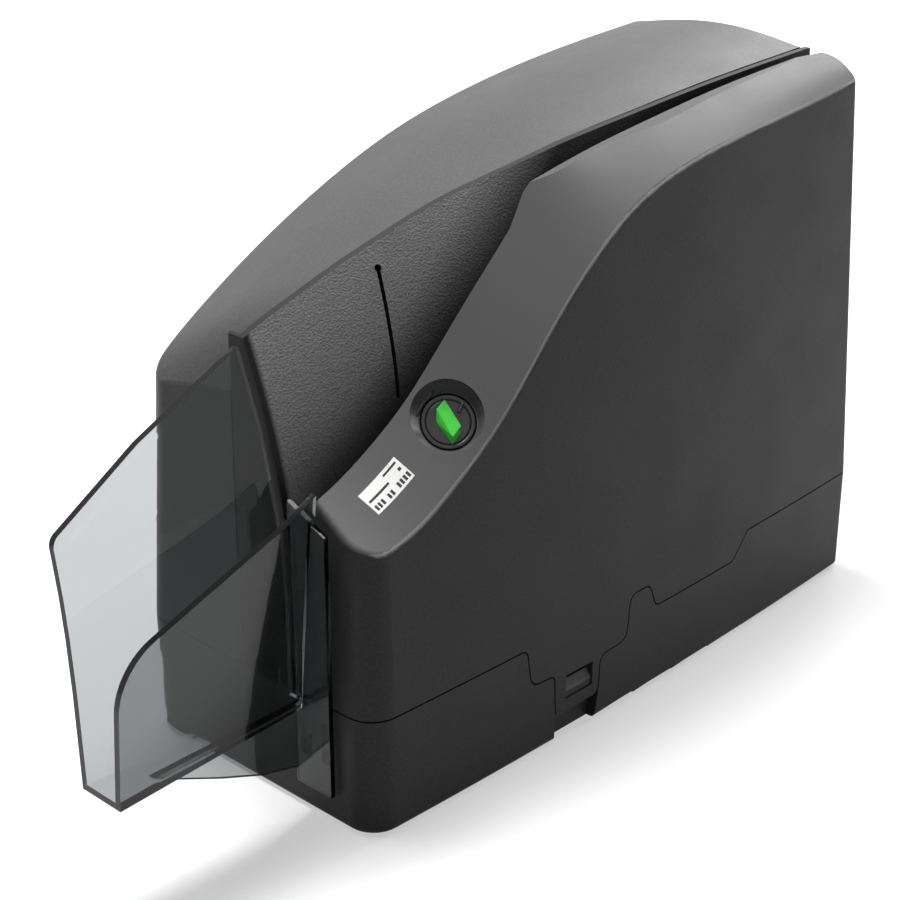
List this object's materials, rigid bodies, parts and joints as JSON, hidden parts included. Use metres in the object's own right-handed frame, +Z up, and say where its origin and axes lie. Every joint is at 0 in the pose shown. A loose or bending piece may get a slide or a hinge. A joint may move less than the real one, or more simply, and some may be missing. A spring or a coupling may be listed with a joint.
{
  "type": "cheque scanner",
  "caption": "Charcoal desktop cheque scanner with a hinged near tower, finger button, up-sliding latch and clear smoked exit tray.",
  "frame": {"origin": "centre of the bounding box's lower face, on the table plane", "axes": "+X from the exit tray end to the entry end, -Y towards the near side with the button, latch and door, +Z up"},
  "size_m": [0.296, 0.1024, 0.1831],
  "materials": {
    "cover_abs": "fine spark-textured matte charcoal ABS",
    "guide_abs": "leather-grained dark grey ABS",
    "button_abs": "satin dark grey ABS",
    "latch_abs": "satin mid grey ABS",
    "foot_rubber": "matte black rubber",
    "tyre_rubber": "matte black rubber",
    "idler_grey": "ground grey rubber",
    "steel": "turned and plated steel",
    "sheet_steel": "zinc-plated folded sheet",
    "motor_steel": "black painted can",
    "head_steel": "lapped nickel-iron face",
    "magnet": "nickel-plated magnet",
    "brass": "turned brass",
    "white_acetal": "white acetal",
    "sensor_black": "glass-filled black nylon",
    "clear_glass": "clear ground glass",
    "board_green": "solder-masked laminate",
    "capacitor": "sleeved aluminium can",
    "socket_metal": "nickel-plated shell",
    "pad_felt": "dense felt",
    "green_crystal": "translucent green lens",
    "label_white": "matte printed film",
    "smoked_clear": "glossy smoked clear polycarbonate"
  },
  "bodies": {
    "base": {"base_shell": "cover_abs", "bottom_plate": "cover_abs", "rubber_feet": "foot_rubber", "base_screws": "steel", "far_cover": "cover_abs", "far_guide_wall": "guide_abs", "roller_brackets": "sheet_steel", "bracket_screws": "steel", "shaft_bushes": "brass", "drive_belt": "tyre_rubber", "motor_body": "motor_steel", "magnet_bar": "magnet", "reading_head": "head_steel", "head_holder": "sheet_steel", "far_image_sensor": "sensor_black", "far_sensor_glass": "clear_glass", "entry_light_sensor": "sensor_black", "main_board": "board_green", "board_chips": "sensor_black", "board_capacitors": "capacitor", "board_screws": "steel", "usb_socket": "socket_metal", "power_jack": "sensor_black", "latch_keeper": "sheet_steel", "hinge_post": "steel", "post_clip": "steel", "deck_screws": "steel"},
    "door": {"door_cover": "cover_abs", "door_guide_wall": "guide_abs", "door_screws": "steel", "near_image_sensor": "sensor_black", "near_sensor_glass": "clear_glass", "arm_pins": "steel", "pinch_springs": "steel", "pressure_pad": "pad_felt", "pad_spring": "steel", "button_board": "board_green", "button_switch": "sensor_black", "status_light": "green_crystal", "button_spring": "steel", "pictogram_label": "label_white", "latch_spring": "steel"},
    "latch": {"latch_slider": "latch_abs"},
    "button": {"button_disc": "button_abs", "button_lens": "green_crystal"},
    "entry_arm": {"entry_pinch_arm": "sheet_steel", "entry_idler_pin": "steel"},
    "exit_arm": {"exit_pinch_arm": "sheet_steel", "exit_idler_pin": "steel"},
    "entry_idler": {"entry_idlers": "idler_grey"},
    "exit_idler": {"exit_idlers": "idler_grey"},
    "entry_drive": {"entry_drive_shaft": "steel", "entry_tyres": "tyre_rubber", "entry_pulley": "white_acetal"},
    "exit_drive": {"exit_drive_shaft": "steel", "exit_tyres": "tyre_rubber", "exit_pulley": "white_acetal"},
    "motor_rotor": {"motor_shaft": "steel", "motor_pulley": "brass"},
    "tray": {"exit_tray": "smoked_clear"}
  },
  "joints": [
    {"name": "door_swing", "type": "hinge", "parent": "base", "child": "door", "pos_m": [0.139, -0.03625, 0.06], "axis": [0, 0, 1], "range_deg": [0, 75]},
    {"name": "latch_slide", "type": "slide", "parent": "door", "child": "latch", "axis": [0, 0, 1], "range_m": [0, 0.0025], "stiffness_N_per_m": 150, "springref_m": -0.004, "deforming": ["latch_spring"]},
    {"name": "button_press", "type": "slide", "parent": "door", "child": "button", "axis": [0.4799, 0.6872, -0.5454], "range_m": [0, 0.0008], "stiffness_N_per_m": 400, "springref_m": -0.001, "deforming": ["button_spring"]},
    {"name": "entry_arm_swing", "type": "hinge", "parent": "door", "child": "entry_arm", "pos_m": [0.115, -0.03475, 0.07], "axis": [0, 0, 1], "range_deg": [0, 5], "stiffness_Nm_per_rad": 0.1, "springref_deg": -8.59},
    {"name": "exit_arm_swing", "type": "hinge", "parent": "door", "child": "exit_arm", "pos_m": [-0.007, -0.03475, 0.07], "axis": [0, 0, 1], "range_deg": [-5, 0], "stiffness_Nm_per_rad": 0.1, "springref_deg": 8.59},
    {"name": "entry_idler_spin", "type": "hinge", "parent": "entry_arm", "child": "entry_idler", "pos_m": [0.099, -0.03275, 0.07], "axis": [0, 0, 1], "continuous": true},
    {"name": "exit_idler_spin", "type": "hinge", "parent": "exit_arm", "child": "exit_idler", "pos_m": [0.009, -0.03275, 0.07], "axis": [0, 0, 1], "continuous": true},
    {"name": "entry_drive_spin", "type": "hinge", "parent": "base", "child": "entry_drive", "pos_m": [0.099, -0.01795, 0.07], "axis": [0, 0, 1], "continuous": true},
    {"name": "exit_drive_spin", "type": "hinge", "parent": "base", "child": "exit_drive", "pos_m": [0.009, -0.01795, 0.07], "axis": [0, 0, 1], "continuous": true},
    {"name": "motor_spin", "type": "hinge", "parent": "base", "child": "motor_rotor", "pos_m": [0.055, 0.02075, 0.04], "axis": [0, 0, 1], "continuous": true},
    {"name": "tray_lift", "type": "slide", "parent": "base", "child": "tray", "axis": [0, 0, 1], "range_m": [0, 0.006]}
  ],
  "couplings": [
    {"joint": "exit_drive_spin", "follows": "entry_drive_spin", "ratio": 1},
    {"joint": "motor_spin", "follows": "entry_drive_spin", "ratio": 1.5}
  ]
}
